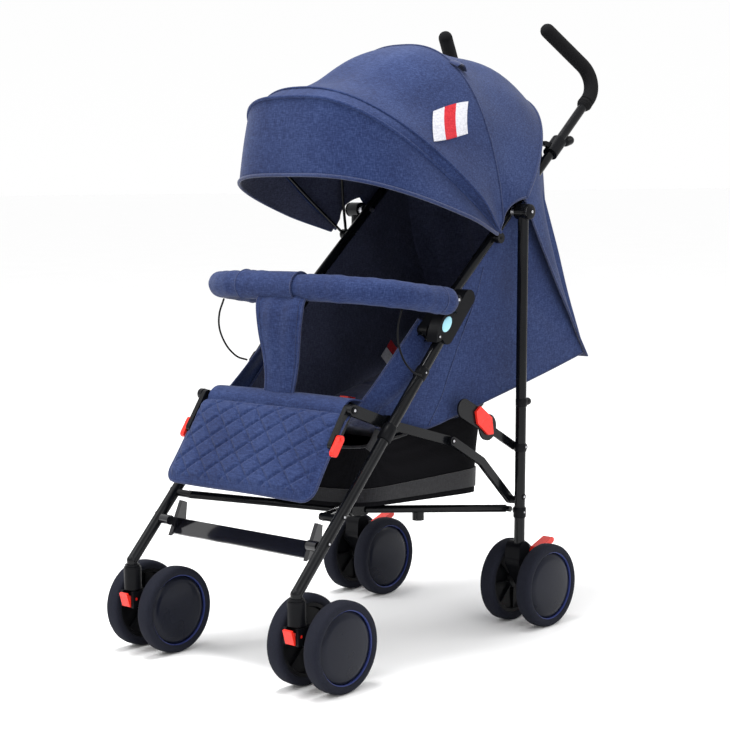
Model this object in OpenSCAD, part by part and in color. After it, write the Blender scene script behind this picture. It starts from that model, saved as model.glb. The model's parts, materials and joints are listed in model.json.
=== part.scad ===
// Folding baby stroller: two side frames of round steel tube, a cross frame
// between them, swivelling double front wheels, braked double rear wheels,
// a sling seat with reclining back, a leg rest, a bumper bar and a hood.
// +Z is up and the child faces -Y. The child's left is +X.

/* [Wheels] */
// Diameter of all eight wheels
wheel_d = 140; // [130:1:144]
// Width of one wheel
wheel_w = 27; // [22:1:28]
// Distance between the middles of the two wheels of a pair
pair_gap = 75.4; // [74:0.2:78]
// Distance from the middle of the left pair to the middle of the right pair
track = 364; // [360:1:368]
// Distance from the front axles to the rear axles
wheelbase = 513; // [505:1:521]
// How far the front axle trails behind its swivel axis
caster_trail = 54; // [50:1:58]

/* [Frame] */
// Outer diameter of the front and rear leg tubes
leg_d = 18; // [16:0.5:18]
// Outer diameter of the handle tubes
handle_d = 16; // [14:0.5:16]
// Wall thickness of the frame tubes
tube_wall = 1.5; // [1:0.1:2]
// Sideways distance between the two handle tubes
handle_gap = 316; // [314:1:318]
// Outer diameter of the foam grips
grip_d = 26; // [22:1:28]

/* [Seat] */
// Width of the seat pad
seat_w = 276; // [240:2:280]
// Thickness of the seat pad
seat_t = 20; // [12:1:24]
// Width of the leg rest pad
legrest_w = 296; // [260:2:298]
// Diameter of the padded bumper bar
bar_d = 42; // [34:1:46]

/* [Hood] */
// Thickness of the hood fabric
hood_t = 2.4; // [2:0.2:3]
// Diameter of the hood bows
bow_d = 5; // [4:0.5:5]

/* [Hidden] */

$fn = 48;
// The frame is drawn about the middle of the wheelbase and then moved here,
// so that the origin is under the middle of the whole stroller.
shift_y = -80.49;
clear = 0.05;
gap = 0.3;
wheel_r = wheel_d / 2;
leg_r = leg_d / 2;
handle_r = handle_d / 2;
leg_x = track / 2;
rear_x = leg_x + 4;
handle_x = handle_gap / 2;
axle_front_y = -wheelbase / 2;
axle_rear_y = wheelbase / 2;
swivel_y = axle_front_y - caster_trail;
axle_r = 4;
fork_w = 30;

// Slopes of the front legs and of the handle tubes, in mm of y for each mm of z
leg_slope = 0.962;
handle_slope = 1 / 0.838;
function leg_y(z) = swivel_y + leg_slope * (z - 154);
function handle_y(z) = 90 + (z - 574) * handle_slope;

// Pivots of the folding linkage, each as [y, z]
top_pivot = [239, 699];
rail_pivot = [-92, 382];
knee_pivot = [74, 333];
drop_end = [228, 215];
brace_pivot = [232, 306];
legrest_pivot = [-165, 409];
cross_front = [-215, 251];
cross_hub = [0, 212];
cross_rear = [236, 196];
canopy_pivot = [192, 657];
recline_pivot = [34, 350];
bar_mount = [40, 566];

module place() translate([0, shift_y, 0]) children();
module on_side(s) { if (s > 0) children(); else mirror([1, 0, 0]) children(); }
module both() { children(); mirror([1, 0, 0]) children(); }

// A straight rod between two points
module rod(a, b, r) {
    v = b - a;
    len = norm(v);
    translate(a) rotate([0, acos(v.z / len), atan2(v.y, v.x)]) cylinder(r = r, h = len);
}

function unit(v) = v / norm(v);

// The points of a path from a to c with a rounded corner at b
function bend_path(a, b, c, bend, steps) =
    let (u = unit(a - b), v = unit(c - b), half = acos(u * v) / 2,
         middle = b + unit(u + v) * bend / sin(half),
         e1 = unit(b + u * bend / tan(half) - middle), e2 = unit(-u), turn = 180 - 2 * half)
    concat([a], [for (i = [0:steps]) middle + bend * (e1 * cos(turn * i / steps) + e2 * sin(turn * i / steps))], [c]);

// Round rods through all points of a path, with a slightly larger ball at each corner
ball_extra = 0.25;
module path_rod(path, r) {
    for (i = [0:len(path) - 2]) rod(path[i], path[i + 1], r);
    for (i = [1:len(path) - 2]) translate(path[i]) sphere(r = r + ball_extra);
}

// The same path with both ends lengthened, to cut a bore right through
function longer(path, extra) = let (n = len(path) - 1) concat(
    [path[0] - unit(path[1] - path[0]) * extra], [for (i = [1:n - 1]) path[i]],
    [path[n] + unit(path[n] - path[n - 1]) * extra]);

module path_tube(path, r) difference() {
    path_rod(path, r);
    path_rod(longer(path, 1), r - tube_wall);
}

// A shape drawn in the Y-Z plane, extruded along X from x0 to x1
module along_x(x0, x1) translate([x0, 0, 0]) rotate([90, 0, 90]) linear_extrude(x1 - x0) children();

// A straight bar with round ends between two [y, z] points
end_steps = 10;
module link2d(a, b, r) {
    v = b - a;
    turn = atan2(v.y, v.x);
    polygon([for (e = [0, 1], i = [0:end_steps])
        let (t = turn + 90 + 180 * e + 180 * i / end_steps) (e == 0 ? a : b) + r * [cos(t), sin(t)]]);
}

module pin(p, x0, x1, r) translate([x0, p.x, p.y]) rotate([0, 90, 0]) cylinder(r = r, h = x1 - x0);

// A closed tube swept along a list of points, for bent wires, bows and straps.
// Each ring has an ellipse of half sizes [a, b]; b lies along the up vector.
function path_dir(p, i) = unit(p[min(i + 1, len(p) - 1)] - p[max(i - 1, 0)]);
module sweep(path, a, b, up = [0, 0, 1], sides = 10) {
    n = len(path);
    rings = [for (i = [0:n - 1])
        let (d = path_dir(path, i), s = unit(cross(d, up)), t = cross(d, s))
        [for (k = [0:sides - 1]) path[i] + s * a * cos(360 * k / sides) + t * b * sin(360 * k / sides)]];
    faces = concat(
        [[for (k = [0:sides - 1]) k]],
        [for (i = [0:n - 2], k = [0:sides - 1])
            [i * sides + k, (i + 1) * sides + k, (i + 1) * sides + (k + 1) % sides,
             i * sides + (k + 1) % sides]],
        [[for (k = [sides - 1:-1:0]) (n - 1) * sides + k]]);
    polyhedron([for (r = rings) each r], faces, convexity = 6);
}

// Frame tubes
leg_path = [[leg_x, swivel_y, 129], [leg_x, swivel_y, 154], [leg_x, leg_y(562), 562]];
handle_foot = [handle_x, handle_y(505), 505];
handle_corner = [handle_x, handle_y(918), 918];
handle_end = [114, 406, 1006];
handle_path = bend_path(handle_foot, handle_corner, handle_end, 42, 4);
module front_leg(s) color("#1c1e24") on_side(s) path_tube(leg_path, leg_r);

module handle_tube(s) color("#1c1e24") on_side(s) difference() {
    path_rod(handle_path, handle_r);
    rod(longer(handle_path, 1)[0], handle_path[1], handle_r - tube_wall);
    pin(top_pivot, handle_x - 20, handle_x + 20, axle_r + clear);
    pin(canopy_pivot, handle_x - 20, handle_x + 20, pivot_pin_r);
}

// Foam grip over the bent end of a handle tube
grip_path = concat([handle_corner + unit(handle_foot - handle_corner) * 62],
    [for (i = [1:5]) handle_path[i]], [handle_end + unit(handle_end - handle_corner) * 5]);
module grip(s) color("#121214") on_side(s) difference() {
    path_rod(grip_path, grip_d / 2);
    path_rod(longer(handle_path, 0.1), handle_r + clear);
}

// The plastic joint that holds the top of a front leg and the foot of a handle tube,
// with an almond badge on its outer face and a mount for the bumper bar
badge_mid = [24, 528];
badge_arc = 57.2;
badge_shift = 43.2;
module badge_shape() translate(badge_mid) rotate(-44) intersection() {
    translate([badge_shift, 0]) circle(r = badge_arc, $fn = 96);
    translate([-badge_shift, 0]) circle(r = badge_arc, $fn = 96);
}
module leg_joint(s) color("#15161a") on_side(s) difference() {
    union() {
        along_x(168, leg_x + leg_r + 3) link2d([leg_y(508), 508], [leg_y(566), 566], 13);
        along_x(handle_x - handle_r - 2.5, 168.5) link2d([handle_y(514), 514], [handle_y(560), 560], 12);
        along_x(leg_x - 6, leg_x + leg_r + 6) badge_shape();
        along_x(leg_x + leg_r + 1, bar_x + 4) link2d(bar_mount - [0, 14], bar_mount, 8);
        rod([bar_x, bar_end_y + 1.2, bar_mount.y], [bar_x, bar_mount.x, bar_mount.y], 5);
    }
    rod([leg_x, leg_y(440), 440], leg_path[2] + [0, leg_slope, 1] * 0.5, leg_r + clear);
    rod(handle_foot - [0, handle_slope, 1] * 0.5, [handle_x, handle_y(640), 640], handle_r + clear);
}

// Front wheel units
socket_top = 152;
socket_low = 108;
stem_r = 6;
module caster_socket(s) color("#15161a") on_side(s) translate([leg_x, swivel_y, 0]) difference() {
    union() {
        translate([0, 0, socket_low]) cylinder(r = 14, h = socket_top - socket_low - 8);
        translate([0, 0, socket_top - 8]) cylinder(r = 12, h = 4);
    }
    translate([0, 0, socket_low - 1]) cylinder(r = stem_r + clear, h = 20.8);
    translate([0, 0, 128.95]) cylinder(r = leg_r + clear, h = 30);
}

module front_fork(s) color("#15161a") on_side(s) difference() {
    union() {
        along_x(leg_x - fork_w / 2, leg_x + fork_w / 2) union() {
            link2d([swivel_y + 2, 92], [axle_front_y, wheel_r], 13);
            translate([swivel_y - 13, 80]) square([34, 26]);
            translate([axle_front_y, wheel_r]) circle(r = 17);
        }
        translate([leg_x, swivel_y, 100]) cylinder(r = stem_r, h = 27.6);
    }
    pin([axle_front_y, wheel_r], leg_x - 20, leg_x + 20, axle_r + clear);
    pin([swivel_y - 6, 94], leg_x - 20, leg_x + 20, 2.5 + clear);
    translate([leg_x - 9.3, swivel_y - 14, 70]) cube([18.6, 12, 40]);
}

// Red tab that holds the swivel straight
module caster_lock(s) color("#d8281e") on_side(s) {
    along_x(leg_x - 9, leg_x + 9) union() {
        link2d([swivel_y - 6, 94], [swivel_y - 12, 84], 3.5);
        translate([swivel_y - 15.5, 82]) rotate(16) square([4, 22]);
    }
    pin([swivel_y - 6, 94], leg_x - 14.5, leg_x + 14.5, 2.5);
}

axle_half = pair_gap / 2 + wheel_w / 2 - 2;
module axle(y) pin([y, wheel_r], leg_x - axle_half, leg_x + axle_half, axle_r);
module front_axle(s) color("silver") on_side(s) axle(axle_front_y);
module rear_axles() color("silver") both() axle(axle_rear_y);

// A wheel with a foam tyre, a dished disc and a raised rim
module wheel(x, y) color("#17181c") translate([x, y, wheel_r]) rotate([0, 90, 0])
    rotate_extrude($fn = 96) polygon([
        [axle_r + clear, -wheel_w / 2 + 1], [16, -wheel_w / 2 + 1], [18, -wheel_w / 2 + 5],
        [wheel_r - 16, -wheel_w / 2 + 5], [wheel_r - 13, -wheel_w / 2], [wheel_r - 5, -wheel_w / 2],
        [wheel_r - 1.2, -wheel_w / 2 + 4], [wheel_r, -wheel_w / 2 + 9], [wheel_r, wheel_w / 2 - 9],
        [wheel_r - 1.2, wheel_w / 2 - 4], [wheel_r - 5, wheel_w / 2], [wheel_r - 13, wheel_w / 2],
        [wheel_r - 16, wheel_w / 2 - 5], [18, wheel_w / 2 - 5], [16, wheel_w / 2 - 1],
        [axle_r + clear, wheel_w / 2 - 1]]);
module wheel_at(side, outer, y) wheel(side * (leg_x + outer * pair_gap / 2), y);

// Rear legs, from the hinge on the handle tube down to the rear wheel brackets
rear_foot = [226, 100];
rear_dir = unit(top_pivot - rear_foot);
function rear_at(z) = rear_foot + (top_pivot - rear_foot) * (z - rear_foot.y) / (top_pivot.y - rear_foot.y);
module rear_leg(s) color("#1c1e24") on_side(s) difference() {
    union() {
        rod([rear_x, rear_foot.x, rear_foot.y], [rear_x, rear_at(690).x, 690], leg_r);
        pin(top_pivot, rear_x - 11, rear_x + 11, 13);
        pin(drop_end, drop_x + gap, rear_x - 4, 6.5);
        pin(cross_rear, drop_x + gap, rear_x - 4, 6);
        pin(brace_pivot, brace_x + gap, rear_x - 4, 7);
    }
    pin(top_pivot, rear_x - 20, rear_x + 20, axle_r + clear);
    rod([rear_x, rear_foot.x, rear_foot.y] - [0, rear_dir.x, rear_dir.y],
        [rear_x, rear_at(678).x, 678], leg_r - tube_wall);
}

module rear_bracket() difference() {
    along_x(leg_x - fork_w / 2, leg_x + fork_w / 2) union() {
        link2d([226, 112], [axle_rear_y, wheel_r], 15);
        link2d([226, 112], [227, 132], 14);
        link2d([axle_rear_y, wheel_r], [axle_rear_y + 22, 118], 7);
    }
    rod([rear_x, rear_foot.x, rear_foot.y], [rear_x, rear_at(200).x, 200], leg_r + clear);
    pin([axle_rear_y, wheel_r], leg_x - 20, leg_x + 20, axle_r + clear);
    along_x(leg_x - 10, leg_x + 10) translate([axle_rear_y + 22, 118]) circle(r = 12);
    pin([axle_rear_y + 22, 118], leg_x - 20, leg_x + 20, 3 + clear);
}
module rear_brackets() color("#15161a") both() rear_bracket();

// Foot pedal of the rear brake
module brake_pedal(s) color("#d8281e") on_side(s) {
    along_x(leg_x - 9.5, leg_x + 9.5) union() {
        translate([axle_rear_y + 22, 118]) circle(r = 6);
        link2d([axle_rear_y + 24, 122], [axle_rear_y + 58, 134], 5);
    }
    pin([axle_rear_y + 22, 118], leg_x - 14.5, leg_x + 14.5, 3);
}

// Cross frame: two front arms and two rear arms that meet at a hub in the middle
arm_x = 150;
arm_r = 6.5;
hub_r = 11;
ear_x = 12.4;
hub_pin_r = 4;
cup_at = 0.42;
module cross_arms_front() color("#1c1e24") difference() {
    union() {
        both() rod([arm_x, cross_front.x, cross_front.y], [0, cross_hub.x - 8, cross_hub.y + 1.5], arm_r);
        both() pin(cross_front, arm_x - 6, leg_x - leg_r - 0.2, 6);
        pin(cross_hub, -ear_x + 0.4, ear_x - 0.4, hub_r);
    }
    pin(cross_hub, -ear_x, ear_x, hub_pin_r + clear);
}
module cross_arms_rear() color("#1c1e24") {
    both() {
        rod([arm_x, cross_rear.x, cross_rear.y], [ear_x + 5, cross_hub.x + 26, cross_hub.y - 1.8], arm_r);
        pin(cross_rear, arm_x - 6, drop_x - 2 * rail_half - 0.2, 5);
        along_x(ear_x, ear_x + 8) link2d(cross_hub, cross_hub + [26, -1.8], 9);
    }
    pin(cross_hub, -ear_x - 1, ear_x + 1, hub_pin_r);
    translate([arm_x * cup_at, cross_hub.x + 26 + (cross_rear.x - cross_hub.x - 26) * cup_at * 0.94,
        cross_hub.y - 27]) cylinder(r = 10, h = 22);
}

// Seat rails beside the seat, clamped to the front legs
rail_x = 165;
rail_half = 4;
link_x = 156.6;
drop_x = rail_x + rail_half;
module seat_rail() difference() {
    union() {
        along_x(rail_x - rail_half, rail_x + rail_half) link2d(legrest_pivot, [-66, 372], 9);
        along_x(rail_x, leg_x - leg_r - 0.2) translate([leg_y(382), 382]) circle(r = 12);
    }
    pin(legrest_pivot, rail_x - 20, rail_x + 20, 4 + clear);
    pin(rail_pivot, rail_x - 20, rail_x + 20, 4 + clear);
}
module seat_rails() color("#17181c") both() seat_rail();

// Links that hinge on the seat rails and carry on to the rear
module rail_link() {
    along_x(link_x - 4, link_x + 4) link2d(rail_pivot, knee_pivot, 7.5);
    pin(rail_pivot, link_x, drop_x, 4);
    pin(knee_pivot, link_x, drop_x - 0.2, 4);
}
module rail_links() color("#17181c") both() rail_link();

module drop_link() difference() {
    along_x(rail_x - rail_half + gap, drop_x) union() {
        link2d(knee_pivot, [150, 290], 7);
        link2d([150, 290], drop_end, 7);
    }
    pin(knee_pivot, rail_x - 20, rail_x + 20, 4 + clear);
}
module drop_links() color("#17181c") both() drop_link();

// Brace that locks the frame open, with its red lever
brace_x = 172.4;
brace_tip = [98, 384];
lever_pivot = [160, 346];
module lock_brace() difference() {
    along_x(brace_x - 3, brace_x) union() {
        link2d(brace_pivot, lever_pivot, 7);
        translate(lever_pivot) circle(r = 22);
        link2d(lever_pivot + [-10, 10], brace_tip, 16);
    }
    pin(lever_pivot, brace_x - 20, brace_x + 20, 3 + clear);
}
module lock_braces() color("#1b1c20") both() lock_brace();

module fold_lever(s) color("#e0291f") on_side(s) {
    along_x(brace_x + 0.3, brace_x + 4.2) polygon([[170, 334], [156, 334], [128, 356],
        [124, 376], [136, 384], [166, 362]]);
    pin(lever_pivot, brace_x - 2.8, brace_x + 0.5, 3);
}

// Leg rest
legrest_dir = unit([-88, -125]);
function legrest_at(d, out = 0) = legrest_pivot + legrest_dir * d + [-legrest_dir.y, legrest_dir.x] * -out;
module legrest_arms() color("#26272b") both() {
    along_x(rail_x - 13, rail_x - 4.4) link2d(legrest_pivot, legrest_at(62), 8);
    pin(legrest_pivot, rail_x - 5, rail_x + 5, 4);
}
module legrest_pad() color("#3b4a7c") translate([-legrest_w / 2, 0, 0]) rotate([90, 0, 90])
    linear_extrude(legrest_w) union() {
        link2d(legrest_at(14, 3), legrest_at(148, 3), 9);
    }
module legrest_lever(s) color("#e0291f") on_side(s) {
    along_x(rail_x - 4, rail_x + 4) link2d(legrest_at(50), legrest_at(74), 6);
    pin(legrest_at(50), rail_x - 4.1, rail_x + 5, 3);
}

// Stepped bolts of the two top hinges
module pivot_bolts() color("#2a2b30") both() {
    pin(top_pivot, handle_x - 11, rear_x + 13, axle_r);
    pin(top_pivot, handle_x + handle_r + 0.2, rear_x - 11.2, 9);
    pin(top_pivot, rear_x + 11.2, rear_x + 15, 9);
}

// Hood. A bow is a superellipse arch in a plane that turns about the pivots.
function arch(angle, half_w, reach, power, steps, from = 0) = [for (i = [0:steps])
    let (t = 180 - from - (180 - 2 * from) * i / steps, c = cos(t), s = sin(t))
    [half_w * sign(c) * pow(abs(c), 2 / power),
     canopy_pivot.x + reach * pow(s, 2 / power) * cos(angle),
     canopy_pivot.y + reach * pow(s, 2 / power) * sin(angle)]];

// Each hood station: angle from +Y, half width, reach and power of its arch
// and the angle at which its fabric starts above the hinge
hood = [[49.5, 189, 319, 2.4, 17], [72, 188, 322, 2.45, 9], [98, 187, 321, 2.55, 5], [120, 187, 350, 2.6, 5],
    [140, 188, 384, 2.75, 5], [144.5, 188, 391, 2.9, 5], [153, 190, 366, 3.05, 5], [161.7, 192, 341, 3.2, 5]];
hood_steps = 26;

// The two moving bows turn on their own levels beside the handle tubes
front_level = 174.1;
mid_level = 168.8;
eye_half = 2.2;
pivot_pin_r = 2.5;
function bow_reach(h) = h[2] - hood_t - bow_d / 2 - 1.5;
function bow_up(h) = [0.001, -sin(h[0]), cos(h[0])];
module bow(h, x) {
    root = [0, canopy_pivot.x + 5 * cos(h[0]), canopy_pivot.y + 5 * sin(h[0])];
    sweep(concat([root - [x, 0, 0]], arch(h[0], x, bow_reach(h), h[3], 30, 1), [root + [x, 0, 0]]),
        bow_d / 2, bow_d / 2, up = bow_up(h), sides = 8);
    both() difference() {
        pin(canopy_pivot, x - eye_half, x + eye_half, 9);
        pin(canopy_pivot, x - bow_d, x + bow_d, pivot_pin_r + clear);
    }
}
module canopy_front_bow() color("#202126") bow(hood[5], front_level);
module canopy_mid_bow() color("#202126") bow(hood[2], mid_level);

// The rear bow is fixed: it stands on the clamps of the handle tubes
rear_bow_from = 37;
module canopy_rear_bow() color("#202126")
    sweep(arch(hood[0][0], hood[0][1] - hood_t - bow_d / 2 - 2, bow_reach(hood[0]), hood[0][3], 24, rear_bow_from),
        bow_d / 2, bow_d / 2, up = bow_up(hood[0]), sides = 8);

// Number of the point at station i and step j of the hood
function at(i, j) = i * (hood_steps + 1) + j;
module canopy_cover() color("#3b4a7c") {
    rows = [for (h = hood) arch(h[0], h[1], h[2], h[3], hood_steps, h[4])];
    inner = [for (h = hood) arch(h[0], h[1] - hood_t, h[2] - hood_t, h[3], hood_steps, h[4])];
    cols = hood_steps + 1;
    count = len(hood);
    base = count * cols;
    faces = concat(
        [for (i = [0:count - 2], j = [0:cols - 2]) each
            [[at(i, j), at(i, j + 1), at(i + 1, j + 1)], [at(i, j), at(i + 1, j + 1), at(i + 1, j)]]],
        [for (i = [0:count - 2], j = [0:cols - 2]) each
            [[base + at(i, j), base + at(i + 1, j + 1), base + at(i, j + 1)],
             [base + at(i, j), base + at(i + 1, j), base + at(i + 1, j + 1)]]],
        [for (j = [0:cols - 2]) each
            [[at(0, j), base + at(0, j + 1), at(0, j + 1)], [at(0, j), base + at(0, j), base + at(0, j + 1)],
             [at(count - 1, j), at(count - 1, j + 1), base + at(count - 1, j + 1)],
             [at(count - 1, j), base + at(count - 1, j + 1), base + at(count - 1, j)]]],
        [for (i = [0:count - 2], e = [0, cols - 1]) each e == 0 ?
            [[at(i, e), at(i + 1, e), base + at(i + 1, e)], [at(i, e), base + at(i + 1, e), base + at(i, e)]] :
            [[at(i, e), base + at(i + 1, e), at(i + 1, e)], [at(i, e), base + at(i, e), base + at(i + 1, e)]]]);
    polyhedron([for (r = rows) each r, for (r = inner) each r], faces, convexity = 6);
}

// Clamps that hold the rear bow to the handle tubes, and the pins of the hood hinge
clamp_z = 806;
module canopy_clamps() color("#15161a") both() {
    difference() {
        union() {
            rod([handle_x, handle_y(clamp_z - 12), clamp_z - 12],
                [handle_x, handle_y(clamp_z + 10), clamp_z + 10], 13);
            along_x(handle_x - 7, handle_x + 3)
                link2d([handle_y(clamp_z), clamp_z], [handle_y(clamp_z) - 30, clamp_z + 6], 4);
            along_x(handle_x - 5, handle_x + 5)
                link2d([handle_y(clamp_z), clamp_z], [handle_y(clamp_z) + 30, clamp_z + 8], 5);
        }
        rod([handle_x, handle_y(700), 700], [handle_x, handle_y(900), 900], handle_r + clear);
    }
    pin(canopy_pivot, handle_x - handle_r - 1, front_level + bow_d / 2 + 0.1, pivot_pin_r);
}

// Bumper bar: a squarish arch that rises a little towards the front
bar_x = 204;
bar_end_y = 20;
bar_reach = 157;
bar_rise = 26;
bar_power = 4;
function bar_point(t) = let (k = pow(sin(t), 2 / bar_power))
    [bar_x * sign(cos(t)) * pow(abs(cos(t)), 2 / bar_power), bar_end_y - bar_reach * k, 564 + bar_rise * k];
bar_front = bar_point(90);
module bumper_bar() color("#3f4f85")
    sweep(concat([[bar_x, bar_end_y, 564]], [for (i = [0:26]) bar_point(1 + 178 * i / 26)], [[-bar_x, bar_end_y, 564]]),
        bar_d / 2, bar_d / 2, sides = 16);

// Padded strap from the bumper bar down to the front of the seat
strap_w = 62;
module crotch_strap() color("#3b4a7c") difference() {
    union() {
        pin([bar_front.y, bar_front.z], -strap_w / 2, strap_w / 2, bar_d / 2 + 4);
        along_x(-24, 24) polygon([[bar_front.y - 8, bar_front.z], [bar_front.y + 12, bar_front.z - 10],
            [-120, 470], [-138, 424], [-146, 424], [-132, 470]]);
    }
    pin([bar_front.y, bar_front.z], -strap_w, strap_w, bar_d / 2 + 1);
}

wire_route = [[196, -84, 558], [197, -94, 534], [197, -94, 508], [196, -80, 480], [195, -58, 460], [193, -36, 452]];
module bar_wires() color("#0e0e10") both() {
    sweep(wire_route, 1.5, 1.5, up = [1, 0, 0], sides = 8);
}

// Soft goods
module seat_pad() color("#23283e") translate([-seat_w / 2, 0, 0]) rotate([90, 0, 90])
    linear_extrude(seat_w) link2d([-146, 408], [20, 352], seat_t / 2);

recline_dir = unit([446, 116]);
back_len = 428;
function back_at(d, out = 0) = recline_pivot + recline_dir * d + [-recline_dir.y, recline_dir.x] * out;
module backrest() color("#23283e") {
    along_x(-seat_w / 2, seat_w / 2) link2d(back_at(22, 4), back_at(back_len - 12, 4), 9);
    along_x(-seat_w / 2, seat_w / 2) link2d(recline_pivot, back_at(22, 4), 3);
    pin(recline_pivot, -seat_w / 2 - 4, seat_w / 2 + 4, 3.5);
}

panel_x = 144;
// Fabric sides between the seat and the handle tubes
module side_panels() color("#3b4a7c") both() along_x(panel_x, panel_x + 3)
    polygon([[-150, 400], [-60, 366], [24, 324], [44, 326], [306, 390], [468, 432],
        [440, 520], [376, 640], [322, 748], [192, 648], [60, 540], [-60, 436], [-120, 412]]);

// Flap that hangs behind the back
module rear_panel() color("#3b4a7c") translate([-panel_x + gap, 0, 0]) rotate([90, 0, 90])
    linear_extrude(2 * (panel_x - gap)) polygon([[473, 470], [477, 471], [332, 750], [328, 748]]);

// Shopping basket under the seat, open at the top
basket_w = 284;
module basket_shape(inset) along_x(-basket_w / 2 + inset, basket_w / 2 - inset)
    polygon([[-112 + inset, 249 + inset], [188 - inset, 232 + inset], [200 - inset, 340], [-118 + inset, 340]]);
module basket() color("#0f0f12") difference() {
    basket_shape(0);
    basket_shape(2.5);
    translate([-200, -300, 322]) cube([400, 600, 60]);
}

// Foot rest between the front legs
foot_w = 148;
module footrest() color("#101013") union() {
    along_x(-foot_w, foot_w) polygon([[-252, 192], [-228, 211], [-231, 214], [-256, 195]]);
    both() along_x(foot_w - 2, foot_w + 6) polygon([[-258, 190], [-226, 206], [-222, 240], [-232, 244]]);
    both() pin([leg_y(214), 214], foot_w + 5, leg_x - leg_r - 0.2, 8);
}

// Five-point harness: shoulder straps on the back, lap straps and a buckle on the seat
buckle_at = [0, 4, 391];
module harness_strap(path) sweep(path, 9, 1.3, sides = 8);
module harness() color("#131316") {
    both() harness_strap([[122, 12, 381], [84, 6, 386], [22, 2, 390]]);
    translate(buckle_at) rotate([-12, 0, 0]) difference() {
        translate([-20, -20, -7]) cube([40, 40, 14]);
        translate([-9.2, -9.2, 0]) cube([18.4, 18.4, 20]);
    }
}
function on_back(x, d) = let (p = back_at(d, 15)) [x, p.x, p.y];
module shoulder_straps() color("#131316") both()
    harness_strap([on_back(52, 290), on_back(46, 180), on_back(36, 100), on_back(30, 42)]);
module buckle_button() color("#e0291f") translate(buckle_at) rotate([-12, 0, 0])
    translate([-9, -9, 2.5]) cube([18, 18, 6.5]);

place() front_leg(1);  // front_leg_left
place() front_leg(-1);  // front_leg_right
place() handle_tube(1);  // handle_tube_left
place() handle_tube(-1);  // handle_tube_right
place() grip(1);  // grip_left
place() grip(-1);  // grip_right
place() leg_joint(1);  // leg_joint_left
place() leg_joint(-1);  // leg_joint_right
place() caster_socket(1);  // caster_socket_left
place() caster_socket(-1);  // caster_socket_right
place() front_fork(1);  // front_fork_left
place() front_fork(-1);  // front_fork_right
place() caster_lock(1);  // caster_lock_left
place() caster_lock(-1);  // caster_lock_right
place() front_axle(1);  // front_axle_left
place() front_axle(-1);  // front_axle_right
place() wheel_at(1, 1, axle_front_y);  // front_wheel_left_outer
place() wheel_at(1, -1, axle_front_y);  // front_wheel_left_inner
place() wheel_at(-1, 1, axle_front_y);  // front_wheel_right_outer
place() wheel_at(-1, -1, axle_front_y);  // front_wheel_right_inner
place() rear_leg(1);  // rear_leg_left
place() rear_leg(-1);  // rear_leg_right
place() rear_brackets();
place() rear_axles();
place() wheel_at(1, 1, axle_rear_y);  // rear_wheel_left_outer
place() wheel_at(1, -1, axle_rear_y);  // rear_wheel_left_inner
place() wheel_at(-1, 1, axle_rear_y);  // rear_wheel_right_outer
place() wheel_at(-1, -1, axle_rear_y);  // rear_wheel_right_inner
place() brake_pedal(1);  // brake_pedal_left
place() brake_pedal(-1);  // brake_pedal_right
place() cross_arms_front();
place() cross_arms_rear();
place() seat_rails();
place() rail_links();
place() drop_links();
place() lock_braces();
place() fold_lever(1);  // fold_lever_left
place() fold_lever(-1);  // fold_lever_right
place() legrest_arms();
place() legrest_lever(1);  // legrest_lever_left
place() legrest_lever(-1);  // legrest_lever_right
place() pivot_bolts();
place() canopy_front_bow();
place() canopy_mid_bow();
place() canopy_rear_bow();
place() canopy_clamps();
place() canopy_cover();
place() bumper_bar();
place() crotch_strap();
place() bar_wires();
place() seat_pad();
place() backrest();
place() side_panels();
place() rear_panel();
place() legrest_pad();
place() basket();
place() footrest();
place() harness();
place() shoulder_straps();
place() buckle_button();
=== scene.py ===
"""Looks of a folding baby stroller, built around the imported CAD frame."""
import json
import math

import bpy
import bmesh
import numpy as np
from mathutils import Matrix, Vector


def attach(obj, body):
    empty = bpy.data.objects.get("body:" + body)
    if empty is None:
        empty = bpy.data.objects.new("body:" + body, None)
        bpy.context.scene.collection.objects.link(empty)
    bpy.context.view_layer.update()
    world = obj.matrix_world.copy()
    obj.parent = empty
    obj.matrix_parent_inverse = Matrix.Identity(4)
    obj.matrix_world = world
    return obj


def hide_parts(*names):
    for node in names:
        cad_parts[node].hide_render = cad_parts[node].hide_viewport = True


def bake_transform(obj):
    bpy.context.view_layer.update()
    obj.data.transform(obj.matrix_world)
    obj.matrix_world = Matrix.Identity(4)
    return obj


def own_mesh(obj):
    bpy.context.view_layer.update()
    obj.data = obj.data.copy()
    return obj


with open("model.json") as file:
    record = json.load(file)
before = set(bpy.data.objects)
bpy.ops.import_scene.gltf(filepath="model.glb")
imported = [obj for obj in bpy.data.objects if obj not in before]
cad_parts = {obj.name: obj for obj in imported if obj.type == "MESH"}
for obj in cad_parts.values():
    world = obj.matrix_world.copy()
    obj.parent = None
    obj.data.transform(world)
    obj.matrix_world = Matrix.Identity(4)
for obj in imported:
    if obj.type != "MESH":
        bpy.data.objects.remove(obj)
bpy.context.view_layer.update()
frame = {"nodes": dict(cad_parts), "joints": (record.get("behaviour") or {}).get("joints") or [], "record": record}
NODES = frame["nodes"]
JOINTS = {j["name"]: j for j in frame["joints"]}
MM = 0.001
SIDES = ((1, "left"), (-1, "right"))
# The first and last column of a grid, or point of a path, that runs from left to right
ENDS = ((0, "left"), (-1, "right"))

# ---------------------------------------------------------------- places taken from the frame
HOOD_PIVOT = np.array(JOINTS["canopy_fold"]["pos_m"])
HOOD_CENTRE = HOOD_PIVOT * np.array([0, 1, 1])
RECLINE = np.array(JOINTS["recline"]["pos_m"])
LEGREST = np.array(JOINTS["legrest_tilt"]["pos_m"])
# The CAD draws the frame about the middle of the wheelbase, where the hood's pivot has this y,
# and then moves it along y
DRAWN_PIVOT_Y = 0.192
SHIFT_Y = HOOD_PIVOT[1] - DRAWN_PIVOT_Y
WHEELS = [n for n in NODES if "_wheel_" in n]


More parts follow.
